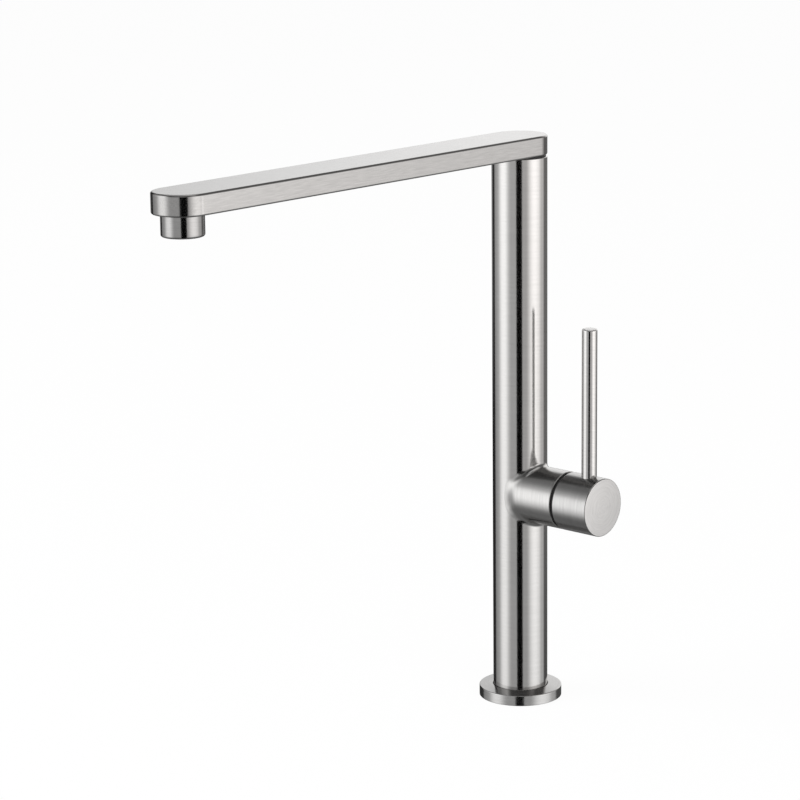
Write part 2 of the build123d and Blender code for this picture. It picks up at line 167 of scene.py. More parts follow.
class Graph:
    """A node tree that is filled by plain calls."""

    def __init__(self, tree: bpy.types.NodeTree) -> None:
        """Take over a tree and empty it."""
        self.tree = tree
        tree.nodes.clear()

    def node(
        self,
        kind: str,
        sockets: Optional[Sockets] = None,
        settings: Optional[Settings] = None,
        output: Union[str, int] = 0,
    ) -> Optional[Tone]:
        """Add one node, set it up and join its inputs.

        Args:
            kind: The node's type, without the leading ShaderNode.
            sockets: Values or tones for its inputs, by name or number.
            settings: Its properties, set before its sockets.
            output: Which output is wanted.

        Returns:
            The wanted output, or None for a node without outputs.
        """
        made = self.tree.nodes.new("ShaderNode" + kind)
        for name, value in (settings or {}).items():
            setattr(made, name, value)
        for name, value in (sockets or {}).items():
            if isinstance(value, Tone):
                self.tree.links.new(value.socket, made.inputs[name])
            else:
                made.inputs[name].default_value = value
        return Tone(self, made.outputs[output]) if len(made.outputs) else None

    def mix(self, factor: Value, first: Any, second: Any) -> Tone:
        """Return a colour between two colours or tones, the second at factor 1."""
        return self.node("Mix", {0: factor, 6: first, 7: second}, {"data_type": "RGBA"}, 2)

    def vector(self, operation: str, *values: Any, output: int = 0) -> Tone:
        """Return the result of a Vector Math node: a vector, or a number at output 1."""
        return self.node("VectorMath", dict(enumerate(values)), {"operation": operation}, output)

    def place(self, centre: Point) -> Tone:
        """Return the position on the piece, in millimetres from a centre."""
        scaled = self.vector("MULTIPLY", self.node("TexCoord", output="Object"), (1 / MM, 1 / MM, 1 / MM))
        return self.vector("SUBTRACT", scaled, centre)

    def split(self, spot: Tone) -> tuple[Tone, Tone, Tone]:
        """Return a vector's three numbers."""
        parts = self.node("SeparateXYZ", {0: spot}).socket.node.outputs
        return Tone(self, parts[0]), Tone(self, parts[1]), Tone(self, parts[2])

    def joined(self, x: Value, y: Value, z: Value) -> Tone:
        """Return a vector from three numbers."""
        return self.node("CombineXYZ", {0: x, 1: y, 2: z})

    def bump(self, height: Tone, depth: float) -> Tone:
        """Return the normal of a relief that is some metres deep."""
        return self.node("Bump", {"Height": height, "Distance": depth, "Strength": 1.0})

    def surface(self, values: Sockets) -> None:
        """Close a material with the main shader."""
        shader = self.node("BsdfPrincipled", values)
        self.node("OutputMaterial", {"Surface": shader})


# Finishes


class Lay(Enum):
    """Which way the marks of the finishing tool run."""

    ALONG_Y = "along_y"
    ROUND_Z = "round_z"
    ROUND_X = "round_x"


class Facing(Enum):
    """The axis that a flat is square to, by its number in a vector."""

    ALONG_X = 0
    ALONG_Z = 2


def paint(tone: Colour, light: float = 1.0) -> tuple[float, float, float, float]:
    """Return a tone as an opaque colour, made lighter or darker."""
    red, green, blue = (min(1.0, part * light) for part in tone)
    return red, green, blue, 1.0


@dataclass(frozen=True)
class Finish(ABC):
    """A surface finish that makes one material."""

    name: str

    @abstractmethod
    def shade(self, graph: Graph) -> None:
        """Fill the material's graph."""

    def material(self) -> bpy.types.Material:
        """Make the finish's material on first use.

        Returns:
            The material.
        """
        made = bpy.data.materials.get(self.name)
        if made is None:
            made = bpy.data.materials.new(self.name)
            made.use_nodes = True
            self.shade(Graph(made.node_tree))
        return made


@dataclass(frozen=True)
class Speck:
    """Soft noise: its waves per unit, how many finer layers it has and how strong they are."""

    scale: float
    detail: float = 2.0
    roughness: float = 0.5

    def on(self, graph: Graph, spot: Tone) -> Tone:
        """Return the noise at a spot, from 0 to 1."""
        values = {"Vector": spot, "Scale": self.scale, "Detail": self.detail, "Roughness": self.roughness}
        return graph.node("TexNoise", values)


@dataclass(frozen=True)
class PaintedFlat:
    """A colour factor on the flats square to one axis, painting light (above 1) or shade (below 1) there,
    with their own roughness.

    The normal's part along the axis is 1 on a flat. The painted light or shade and the roughness
    show wholly down to 1 - full, and fade out below that over fade.
    """

    facing: Facing
    light: float
    roughness: float
    both_sides: bool = True
    full: float = 0.003
    fade: float = 0.03


@dataclass(frozen=True)
class Steel(Finish):
    """Stainless steel with a drawn or turned grain, and painted light or shade on chosen flats."""

    lay: Lay
    centre: Point = ORIGIN
    tone: Colour = (0.606, 0.598, 0.589)
    roughness: float = 0.13
    contrast: float = 0.1
    # Flats whose colour is painted lighter or darker than the rest: painted light and shade
    flats: tuple[PaintedFlat, ...] = ()
    grain: Speck = Speck(1.0, 3.0, 0.6)
    grain_pitch: float = 0.22
    grain_stretch: float = 60.0
    grain_share: float = 0.7
    grain_gloss: float = 0.06
    grain_depth: float = 0.7e-6
    stroke: Speck = Speck(1.0)
    stroke_pitch: float = 0.7
    stroke_stretch: float = 14.0
    stroke_share: float = 1.3
    cloud: Speck = Speck(0.05, 3.0, 0.55)
    cloud_gloss: float = 0.05
    touch: Speck = Speck(0.35, 4.0, 0.6)
    touch_gloss: float = 0.03
    swirl: float = 1.5
    smoothest: float = 0.06
    roughest: float = 0.6

    def grain_spot(self, graph: Graph, place: Tone, pitch: float, stretch: float) -> Tone:
        """Return the place drawn out along the tool marks.

        Args:
            graph: The material's graph.
            place: Position in millimetres from the piece's own centre.
            pitch: Width of a mark, in millimetres.
            stretch: How many times longer than wide a straight mark is.

        Returns:
            A vector that changes fast across the marks and slowly along them.
        """
        x, y, z = graph.split(place)
        across = 1 / pitch
        if self.lay is Lay.ALONG_Y:
            return graph.joined(x * across, y * (across / stretch), z * across)
        along, side, rise = (z, x, y) if self.lay is Lay.ROUND_Z else (x, y, z)
        radius = (side * side + rise * rise + TINY) ** 0.5
        return graph.joined(
            radius * across + side / radius * self.swirl,
            along * across + rise / radius * self.swirl,
            side / radius - rise / radius,
        )

    def grained(self, graph: Graph, marks: Tone, light: float) -> Tone:
        """Return the steel's colour between the valleys and the crests of its grain, times light, which
        paints light or shade.
        """
        valley = paint(self.tone, light * (1 - self.contrast))
        return graph.mix(marks, valley, paint(self.tone, light * (1 + self.contrast)))

    def shade(self, graph: Graph) -> None:
        """Fill the graph with grain in colour, gloss and relief, and with the flats' painted light and
        shade.

        Args:
            graph: The material's graph.
        """
        place = graph.place(self.centre)
        grain = self.grain.on(graph, self.grain_spot(graph, place, self.grain_pitch, self.grain_stretch))
        stroke = self.stroke.on(graph, self.grain_spot(graph, place, self.stroke_pitch, self.stroke_stretch))
        cloud = self.cloud.on(graph, place) - 0.5
        touch = self.touch.on(graph, place) - 0.5
        marks = (grain - 0.5) * self.grain_share + (stroke - 0.5) * self.stroke_share + 0.5
        colour = self.grained(graph, marks, 1.0)
        rough = self.roughness + (grain - 0.5) * self.grain_gloss
        rough = rough + cloud * self.cloud_gloss + touch * self.touch_gloss
        # Painted light and shade: each flat's colour is the grain made lighter or darker by its light factor
        for flat in self.flats:
            facing = graph.split(graph.node("TexCoord", output="Normal"))[flat.facing.value]
            share = (abs(facing) if flat.both_sides else facing).within(1.0, flat.full, flat.fade)
            colour = graph.mix(share, colour, self.grained(graph, marks, flat.light))
            rough = rough + share * (flat.roughness - self.roughness)
        graph.surface({
            "Base Color": colour,
            "Metallic": 1.0,
            "Roughness": rough.above(self.smoothest).below(self.roughest),
            "Normal": graph.bump(grain, self.grain_depth),
        })


@dataclass(frozen=True)
class Mottled(Finish):
    """A plain stuff with soft patches in its colour and a fine skin."""

    tone: Colour
    patch_tone: Colour
    roughness: float
    patch: Speck
    skin: Speck
    skin_depth: float
    patch_start: float = 0.0
    patch_gain: float = 1.0
    patch_gloss: float = 0.0
    skin_gloss: float = 0.0
    skin_stretch: Point = (1.0, 1.0, 1.0)
    metallic: float = 0.0
    specular: float = 0.5

    def shade(self, graph: Graph) -> None:
        """Fill the graph with the patches and the skin.

        Args:
            graph: The material's graph.
        """
        place = graph.place(ORIGIN)
        patch = self.patch.on(graph, place)
        skin = self.skin.on(graph, graph.vector("MULTIPLY", place, self.skin_stretch))
        share = (patch - self.patch_start) * self.patch_gain
        rough = self.roughness + (patch - 0.5) * self.patch_gloss + (skin - 0.5) * self.skin_gloss
        graph.surface({
            "Base Color": graph.mix(share, paint(self.tone), paint(self.patch_tone)),
            "Metallic": self.metallic,
            "Roughness": rough,
            "Specular IOR Level": self.specular,
            "Normal": graph.bump(skin, self.skin_depth),
        })


BRASS = Mottled(
    "brass",
    tone=(0.72, 0.52, 0.25),
    patch_tone=(0.5184, 0.3744, 0.18),
    roughness=0.26,
    patch=Speck(0.12, 4.0, 0.6),
    skin=Speck(1.0),
    skin_depth=3.0e-6,
    patch_start=0.35,
    patch_gain=1.4,
    patch_gloss=0.2,
    skin_gloss=0.12,
    skin_stretch=(0.4, 0.4, 6.0),
    metallic=1.0,
)
SPRING_STEEL = Mottled(
    "spring_steel",
    tone=(0.315, 0.315, 0.3225),
    patch_tone=(0.42, 0.42, 0.43),
    roughness=0.3,
    patch=Speck(0.3, 3.0),
    skin=Speck(2.5, 3.0),
    skin_depth=4.0e-6,
    skin_gloss=0.2,
    metallic=1.0,
)
DARK_POLYMER = Mottled(
    "dark_polymer",
    tone=(0.017, 0.017, 0.0187),
    patch_tone=(0.02, 0.02, 0.022),
    roughness=0.45,
    patch=Speck(0.2),
    skin=Speck(6.0),
    skin_depth=6.0e-6,
    skin_gloss=0.15,
)
PALE_POLYMER = replace(
    DARK_POLYMER,
    name="pale_polymer",
    tone=(0.527, 0.5185, 0.493),
    patch_tone=(0.62, 0.61, 0.58),
    roughness=0.4,
)
RUBBER = Mottled(
    "seal_rubber",
    tone=(0.018, 0.018, 0.018),
    patch_tone=(0.048, 0.048, 0.048),
    roughness=0.72,
    patch=Speck(0.25, 4.0, 0.6),
    skin=Speck(5.0),
    skin_depth=8.0e-6,
    patch_gloss=0.2,
    specular=0.35,
)
CERAMIC = Mottled(
    "ceramic",
    tone=(0.7708, 0.752, 0.7144),
    patch_tone=(0.82, 0.80, 0.76),
    roughness=0.16,
    patch=Speck(0.4, 3.0),
    skin=Speck(8.0),
    skin_depth=1.0e-6,
    skin_gloss=0.08,
)


@dataclass(frozen=True)
class Matt(Finish):
    """A matt studio colour, part of which can show as white to the camera."""

    tone: Colour
    white: float = 0.0

    def shade(self, graph: Graph) -> None:
        """Fill the graph with the colour and its white part.

        Args:
            graph: The material's graph.
        """
        lit = graph.node("BsdfDiffuse", {"Color": paint(self.tone)})
        white = graph.node("Emission", {"Color": paint(WHITE)})
        shown = graph.node("LightPath", output="Is Camera Ray") * self.white
        mixed = graph.node("MixShader", {0: shown, 1: lit, 2: white})
        graph.node("OutputMaterial", {"Surface": mixed})


# Meshes


def linked(name: str, data: bpy.types.ID) -> Piece:
    """Put a new object into the scene.

    Args:
        name: The object's name.
        data: The mesh, lamp or camera that it shows.

    Returns:
        The new object.
    """
    made = bpy.data.objects.new(name, data)
    bpy.context.scene.collection.objects.link(made)
    return made


class Axis(Enum):
    """The line that a turned piece is turned about."""

    UP = "up"
    STUB = "stub"

    def spot(self, radius: float, angle: float, along: float, centre: Point) -> Point:
        """Return a point on a turned piece.

        Args:
            radius: Distance from the axis.
            angle: Turn about the axis, in radians.
            along: Distance along the axis.
            centre: A point that the axis passes through.

        Returns:
            The point in the row's frame.
        """
        side, rise = radius * math.cos(angle), radius * math.sin(angle)
        if self is Axis.UP:
            return centre[0] + side, centre[1] + rise, centre[2] + along
        return centre[0] + along, centre[1] + side, centre[2] + rise


def round_corner(before: Vector, corner: Vector, after: Vector, ease: float) -> list[Vector]:
    """Round one corner of a section.

    Args:
        before: The corner before.
        corner: The corner itself.
        after: The corner after.
        ease: Radius of the rounding.

    Returns:
        Points of the arc, with one guard point on each straight beside it.
    """
    back, ahead = (before - corner), (after - corner)
    inward, onward = back.normalized(), ahead.normalized()
    half = inward.angle(onward) / 2
    reach = ease / math.tan(half)
    middle = corner + (inward + onward).normalized() * (ease / math.sin(half))
    start, end = corner + inward * reach - middle, corner + onward * reach - middle
    first = math.atan2(start.y, start.x)
    sweep = (math.atan2(end.y, end.x) - first + math.pi) % math.tau - math.pi
    angles = [first + sweep * step / ARC_STEPS for step in range(ARC_STEPS + 1)]
    arc = [middle + Vector((math.cos(angle), math.sin(angle))) * ease for angle in angles]
    near = min(GUARD, (back.length - reach) * GUARD_SHARE)
    far = min(GUARD, (ahead.length - reach) * GUARD_SHARE)
    return [corner + inward * (reach + near), *arc, corner + onward * (reach + far)]


def eased(outline: Outline, looped: bool) -> Section:
    """Round the corners of a section and divide its long straights.

    Args:
        outline: Corners as distance from the axis, distance along it and edge radius.
        looped: Whether the last corner joins the first.

    Returns:
        The section's points.
    """
    corners = [Vector(corner[:2]) for corner in outline]
    last = len(outline) - 1
    points: list[Vector] = []
    for place, (_, _, ease) in enumerate(outline):
        open_end = not looped and place in (0, last)
        if ease and not open_end:
            after = corners[(place + 1) % len(corners)]
            points += round_corner(corners[place - 1], corners[place], after, ease)
        else:
            points.append(corners[place])
    section: Section = []
    for place, point in enumerate(points):
        section.append((point.x, point.y))
        if place == len(points) - 1 and not looped:
            break
        after = points[(place + 1) % len(points)]
        parts = math.ceil((after - point).length / LONGEST)
        for part in range(1, parts):
            between = point.lerp(after, part / parts)
            section.append((between.x, between.y))
    return section


def turned_rings(section: Section, axis: Axis, centre: Point, steps: int = TURN_STEPS) -> list[Ring]:
    """Turn a section about an axis.

    Args:
        section: Points as distance from the axis and distance along it.
        axis: The axis.
        centre: A point on the axis.
        steps: How many flats make a full turn.

    Returns:
        One ring of points for each point of the section.
    """
    rings = []
    for radius, along in section:
        count = steps if radius > TINY else 1
        angles = [math.tau * step / steps for step in range(count)]
        rings.append([axis.spot(radius, angle, along, centre) for angle in angles])
    return rings


def smooth(piece: Piece) -> None:
    """Shade a piece smoothly, with creases at its sharp edges."""
    piece.data.polygons.foreach_set("use_smooth", [True] * len(piece.data.polygons))
    piece.data.set_sharp_from_angle(angle=CREASE)


def lay_skin(name: str, rings: list[Ring], looped: bool, caps: Optional[list[list[int]]] = None) -> Piece:
    """Lay a closed skin through rings of points.

    Args:
        name: The piece's name.
        rings: Rings of equal count, or of one point at a pole.
        looped: Whether the last ring joins the first.
        caps: Faces that close the first and the last ring, by number in the ring.

    Returns:
        The new object.
    """
    sheet = bmesh.new()
    laid = [[sheet.verts.new(Vector(point) * MM) for point in ring] for ring in rings]
    pairs = list(zip(laid, laid[1:])) + ([(laid[-1], laid[0])] if looped else [])
    for near, far in pairs:
        count = max(len(near), len(far))
        for step in range(count):
            after = (step + 1) % count
            corners = [near[step % len(near)], near[after % len(near)]]
            corners += [far[after % len(far)], far[step % len(far)]]
            sheet.faces.new(list(dict.fromkeys(corners)))
    for face in caps or []:
        for ring in (laid[0], laid[-1]):
            sheet.faces.new([ring[number] for number in face])
    bmesh.ops.recalc_face_normals(sheet, faces=sheet.faces)
    mesh = bpy.data.meshes.new(name)
    sheet.to_mesh(mesh)
    sheet.free()
    piece = linked(name, mesh)
    smooth(piece)
    return piece


def turned(name: str, outline: Outline, axis: Axis, centre: Point, looped: bool = True) -> Piece:
    """Make a piece by turning a section, which is looped unless it starts and ends on the axis."""
    return lay_skin(name, turned_rings(eased(outline, looped), axis, centre), looped)


def cutter(name: str, radius: float, low: float, high: float, axis: Axis, centre: Point) -> Piece:
    """Make the shape of a plain round hole from low to high along an axis through a centre."""
    outline: Outline = [(0.0, low, 0.0), (radius, low, 0.0), (radius, high, 0.0), (0.0, high, 0.0)]
    return turned(name, outline, axis, centre, False)


def bore(piece: Piece, hole: Piece) -> None:
    """Cut one mesh out of another and drop the cutter.

    Args:
        piece: The piece that gets the hole.
        hole: The shape of the hole.
    """
    cut = piece.modifiers.new("bore", "BOOLEAN")
    cut.operation, cut.solver, cut.object = "DIFFERENCE", "EXACT", hole
    bpy.context.view_layer.update()
    shown = piece.evaluated_get(bpy.context.evaluated_depsgraph_get())
    whole, mesh = piece.data, bpy.data.meshes.new_from_object(shown)
    sheet = bmesh.new()
    sheet.from_mesh(mesh)
    bmesh.ops.remove_doubles(sheet, verts=sheet.verts, dist=WELD)
    bmesh.ops.dissolve_degenerate(sheet, edges=sheet.edges, dist=WELD)
    sheet.to_mesh(mesh)
    sheet.free()
    piece.modifiers.clear()
    piece.data = mesh
    bpy.data.meshes.remove(whole)
    bpy.data.objects.remove(hole)
    mesh.name = piece.name
    smooth(piece)


# Sub-assemblies


@dataclass
class Assembly(ABC):
    """A group of pieces that belong together."""

    @abstractmethod
    def build(self) -> None:
        """Build the group's meshes and dress them."""

    def fit(self, piece: Piece, body: str, slot: str, finish: Finish, *nodes: str) -> None:
        """Dress a piece and put it on its body.

        Args:
            piece: The new piece.
            body: The body that carries it.
            slot: The record's material slot; not used.
            finish: The finish that it gets.
            *nodes: The CAD nodes that it stands for.
        """
        piece.data.materials.clear()
        piece.data.materials.append(finish.material())
        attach(piece, body)
        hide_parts(*nodes)
        LOG.info("%s rides on %s in %s", piece.name, body, finish.name)

    def carry(self, finish: Finish, *nodes: str) -> None:
        """Give carried-over CAD nodes their finish.

        Args:
            finish: The finish.
            *nodes: Names of the nodes.
        """
        for name in nodes:
            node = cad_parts[name]
            if not node.material_slots:
                node.data.materials.append(finish.material())
            for slot in node.material_slots:
                slot.material = finish.material()
            LOG.info("%s is carried over in %s", name, finish.name)


@dataclass
class Foot(Assembly):
    """The round plate on the deck, its seal and the plug inside the column."""

    radius: float = 24.3
    thickness: float = 6.4
    mouth: float = 16.3
    ledge: float = 14.5
    ledge_height: float = 4.0
    recess: float = 17.5
    recess_depth: float = 2.5
    seal_outer: float = 22.8
    seal_inner: float = 20.8
    seal_depth: float = 1.5
    rim_ease: float = 0.4
    rim_drop: float = 0.3
    mouth_ease: float = 0.35
    mouth_rise: float = 0.6
    foot_ease: float = 0.2
    steel: Steel = Steel(
        "spun_steel_flange",
        Lay.ROUND_Z,
        tone=(0.56, 0.554, 0.548),
        roughness=0.16,
        # Painted shade: the flange's flat top is painted darker than its rim
        flats=(PaintedFlat(Facing.ALONG_Z, 0.68, 0.18),),
    )

    def build(self) -> None:
        """Build the flange and dress the foot."""
        outline: Outline = [
            (self.recess, 0.0, 0.0),
            (self.seal_inner, 0.0, 0.0),
            (self.seal_inner, self.seal_depth, 0.0),
            (self.seal_outer, self.seal_depth, 0.0),
            (self.seal_outer, 0.0, 0.0),
            (self.radius, 0.0, self.foot_ease),
            (self.radius, self.thickness - self.rim_drop, self.rim_ease),
            (self.mouth, self.thickness + self.mouth_rise, self.mouth_ease),
            (self.mouth, self.ledge_height, 0.0),
            (self.ledge, self.ledge_height, 0.0),
            (self.ledge, self.recess_depth, 0.0),
            (self.recess, self.recess_depth, 0.0),
        ]
        flange = turned("flange", outline, Axis.UP, ORIGIN)
        self.fit(flange, "base", "spun_steel", self.steel, "base_flange")
        self.carry(RUBBER, "base_seal")
        self.carry(BRASS, "foot_insert")


@dataclass
class Column(Assembly):
    """The upright tube with the swivel's seat in its top."""

    radius: float = COLUMN_RADIUS
    bore: float = 14.5
    bottom: float = 4.0
    top: float = 322.1
    top_ease: float = 0.4
    side_reach: float = 30.0
    steel: Steel = Steel("brushed_steel_column", Lay.ROUND_Z, contrast=0.06, grain_depth=0.3e-6)

    def build(self) -> None:
        """Build the tube and dress what it holds."""
        outline: Outline = [
            (self.bore, self.bottom, 0.0),
            (self.radius, self.bottom, 0.0),
            (self.radius, self.top, self.top_ease),
            (self.bore, self.top, BORE_EASE),
        ]
        tube = turned("column", outline, Axis.UP, ORIGIN)
        bore(tube, cutter("side_hole", STUB_BORE, 0.0, self.side_reach, Axis.STUB, VALVE_CENTRE))
        self.fit(tube, "base", "brushed_steel", self.steel, "column_tube")
        self.carry(DARK_POLYMER, "glide_ring")


@dataclass
class Spout(Assembly):
    """The long flat arm with round ends."""

    half_width: float = 16.0
    reach: float = SPOUT_REACH
    underside: float = 323.1
    top: float = 334.6
    top_ease: float = 1.25
    bottom_ease: float = 1.0
    rim: float = 3.0
    side_steps: int = 40
    end_steps: int = 96
    steel: Steel = Steel(
        "brushed_steel_spout",
        Lay.ALONG_Y,
        tone=(0.440, 0.434, 0.428),
        contrast=0.12,
        # Painted light: the flat sides and top are painted lighter than the round ends, whose darker tone is
        # painted shade
        flats=(PaintedFlat(Facing.ALONG_X, 1.42, 0.2, full=0.0005, fade=0.006), PaintedFlat(Facing.ALONG_Z, 1.33, 0.2)),
    )

    def stations(self) -> list[tuple[float, float, float]]:
        """List the stations round the outline.

        Returns:
            Each station's place along Y and its outward X and Y.
        """
        sides = [-self.reach * step / self.side_steps for step in range(self.side_steps)]
        turns = [math.pi * step / self.end_steps for step in range(self.end_steps)]
        right = [(place, 1.0, 0.0) for place in sides]
        tip = [(-self.reach, math.cos(turn), -math.sin(turn)) for turn in turns]
        left = [(-self.reach - place, -1.0, 0.0) for place in sides]
        heel = [(0.0, -math.cos(turn), math.sin(turn)) for turn in turns]
        return right + tip + left + heel

    def caps(self) -> list[list[int]]:
        """List the faces across one flat side.

        Returns:
            Each face's corners, by number in a ring.
        """
        faces = []
        count = 2 * (self.side_steps + self.end_steps)
        tip, left = self.side_steps, self.side_steps + self.end_steps
        heel = left + self.side_steps
        for step in range(self.side_steps):
            faces.append([step, step + 1, heel - step - 1, heel - step])
        for start, end in ((tip, left), (heel, count)):
            for step in range(self.end_steps // 2):
                corners = [start + step, start + step + 1, end - step - 1, end - step]
                faces.append(list(dict.fromkeys(corner % count for corner in corners)))
        return faces

    def build(self) -> None:
        """Build the arm and dress it."""
        inner = self.half_width - self.rim
        section = eased(
            [
                (inner, self.underside, 0.0),
                (self.half_width, self.underside, self.bottom_ease),
                (self.half_width, self.top, self.top_ease),
                (inner, self.top, 0.0),
            ],
            False,
        )
        stations = self.stations()
        rings = [
            [(width * x, place + width * y, height) for place, x, y in stations]
            for width, height in section
        ]
        arm = lay_skin("spout_arm", rings, False, self.caps())
        self.fit(arm, "spout", "brushed_steel", self.steel, "spout_shell", "spout_top_plate")


@dataclass
class Aerator(Assembly):
    """The round outlet under the spout's tip."""

    outer: float = 11.4
    bore: float = 10.2
    lip: float = 9.2
    lip_height: float = 1.2
    bottom: float = 311.2
    top: float = 322.8
    bottom_ease: float = 1.3
    lip_ease: float = 0.25
    top_ease: float = 0.5
    steel: Steel = Steel("spun_steel_aerator", Lay.ROUND_Z, OUTLET_CENTRE, (0.432, 0.428, 0.424))

    def build(self) -> None:
        """Build the collar and dress the insert inside it."""
        outline: Outline = [
            (self.lip, self.bottom, self.lip_ease),
            (self.outer, self.bottom, self.bottom_ease),
            (self.outer, self.top, self.top_ease),
            (self.bore, self.top, 0.0),
            (self.bore, self.bottom + self.lip_height, 0.0),
            (self.lip, self.bottom + self.lip_height, 0.0),
        ]
        collar = turned("aerator_collar", outline, Axis.UP, OUTLET_CENTRE)
        self.fit(collar, "spout", "spun_steel", self.steel, "aerator_housing")
        self.carry(PALE_POLYMER, "aerator_insert")
        self.carry(SPRING_STEEL, "flow_screen")
        self.carry(RUBBER, "aerator_washer")
        self.carry(BRASS, "outlet_boss")


@dataclass
class ValveStub(Assembly):
    """The side tube that holds the cartridge, blended into the column."""

    radius: float = STUB_RADIUS
    bore: float = STUB_BORE
    height: float = VALVE_HEIGHT
    mouth: float = 35.7
    mouth_ease: float = 0.4
    mouth_length: float = 2.0
    heel: float = 6.4
    heel_softness: float = 4.0
    column_radius: float = COLUMN_RADIUS
    top_blend: float = 2.2
    side_blend: float = 4.5
    fullness: float = 0.39
    blend_steps: int = 14
    barrel_steps: int = 8
    sink: float = 0.004
    bore_start: float = 1.0
    bore_sink: float = 0.5
    nudge: float = 0.01
    steel: Steel = Steel("spun_steel_stub", Lay.ROUND_X, VALVE_CENTRE, (0.53, 0.524, 0.516), 0.2)

    def on_column(self, spread: float, rise: float) -> Vector:
        """Return a point just under the column's skin, from the way round it and a height."""
        radius, angle = self.column_radius - self.sink, spread / self.column_radius
        return Vector((radius * math.cos(angle), radius * math.sin(angle), rise))

    def landing(self, angle: float) -> Vector:
        """Find where the stub's skin begins: on the column, or at its heel beside it.

        Args:
            angle: Turn about the stub's axis, in radians.

        Returns:
            The point.
        """
        side, rise = self.radius * math.cos(angle), self.radius * math.sin(angle)
        meeting = math.sqrt(max(0.0, self.column_radius ** 2 - side ** 2))
        start = (meeting ** self.heel_softness + self.heel ** self.heel_softness) ** (1 / self.heel_softness)
        return Vector((start, side, self.height + rise))

    def unrolled(self, angle: float) -> Vector:
        """Return the landing's place on the unrolled column, as the way round it and the height."""
        spot = self.landing(angle)
        return Vector((self.column_radius * math.atan2(spot.y, spot.x), spot.z))

    def blend_curve(self, angle: float) -> tuple[Vector, Vector, Vector, Vector]:
        """Find the curve that leaves the column and lands on the stub without a crease.

        Args:
            angle: Turn about the stub's axis, in radians.

        Returns:
            The start on the column, the two handles and the end on the stub.
        """
        way = self.unrolled(angle + self.nudge) - self.unrolled(angle - self.nudge)
        out = Vector((way.y, -way.x)).normalized()
        reach = self.top_blend + (self.side_blend - self.top_blend) * math.cos(angle) ** 2
        foot = self.unrolled(angle) + out * reach
        turn = foot.x / self.column_radius
        inward = Vector((out.x * math.sin(turn), -out.x * math.cos(turn), -out.y))
        start = self.on_column(foot.x, foot.y)
        end = self.landing(angle) + Vector((reach, 0.0, 0.0))
        pull = self.fullness * (end - start).length
        return start, start + inward * pull, end - Vector((pull, 0.0, 0.0)), end

    def build(self) -> None:
        """Build the stub and dress the valve inside it."""
        angles = [math.tau * step / TURN_STEPS for step in range(TURN_STEPS)]
        curves = [self.blend_curve(angle) for angle in angles]
        rings: list[Ring] = []
        for step in range(self.blend_steps + 1):
            t, left = step / self.blend_steps, 1 - step / self.blend_steps
            shares = (left ** 3, 3 * t * left ** 2, 3 * t ** 2 * left, t ** 3)
            rings.append([
                tuple(sum((point * share for point, share in zip(curve, shares)), Vector()))
                for curve in curves
            ])
        section = eased(
            [
                (self.radius, self.mouth - self.mouth_length, 0.0),
                (self.radius, self.mouth, self.mouth_ease),
                (self.bore, self.mouth, BORE_EASE),
                (self.bore, self.column_radius + self.bore_start, 0.0),
            ],
            False,
        )
        mouth = turned_rings(section, Axis.STUB, VALVE_CENTRE)
        shoulder = rings[self.blend_steps]
        for step in range(1, self.barrel_steps):
            part = step / self.barrel_steps
            pairs = zip(shoulder, mouth[0])
            rings.append([tuple(Vector(near).lerp(Vector(far), part)) for near, far in pairs])
        rings += mouth
        inner = []
        for angle in angles:
            side, rise = self.bore * math.cos(angle), self.bore * math.sin(angle)
            start = math.sqrt(self.column_radius ** 2 - side ** 2) - self.bore_sink
            inner.append((start, side, self.height + rise))
        rings.append(inner)
        stub = lay_skin("valve_stub", rings, True)
        self.fit(stub, "base", "spun_steel", self.steel, "valve_socket")
        self.carry(DARK_POLYMER, "handle_glide_ring")
        self.carry(BRASS, "valve_block", "cartridge_nut")
        self.carry(PALE_POLYMER, "cartridge_base", "cartridge_body")
        self.carry(RUBBER, "cartridge_seal")
        self.carry(CERAMIC, "fixed_disc")


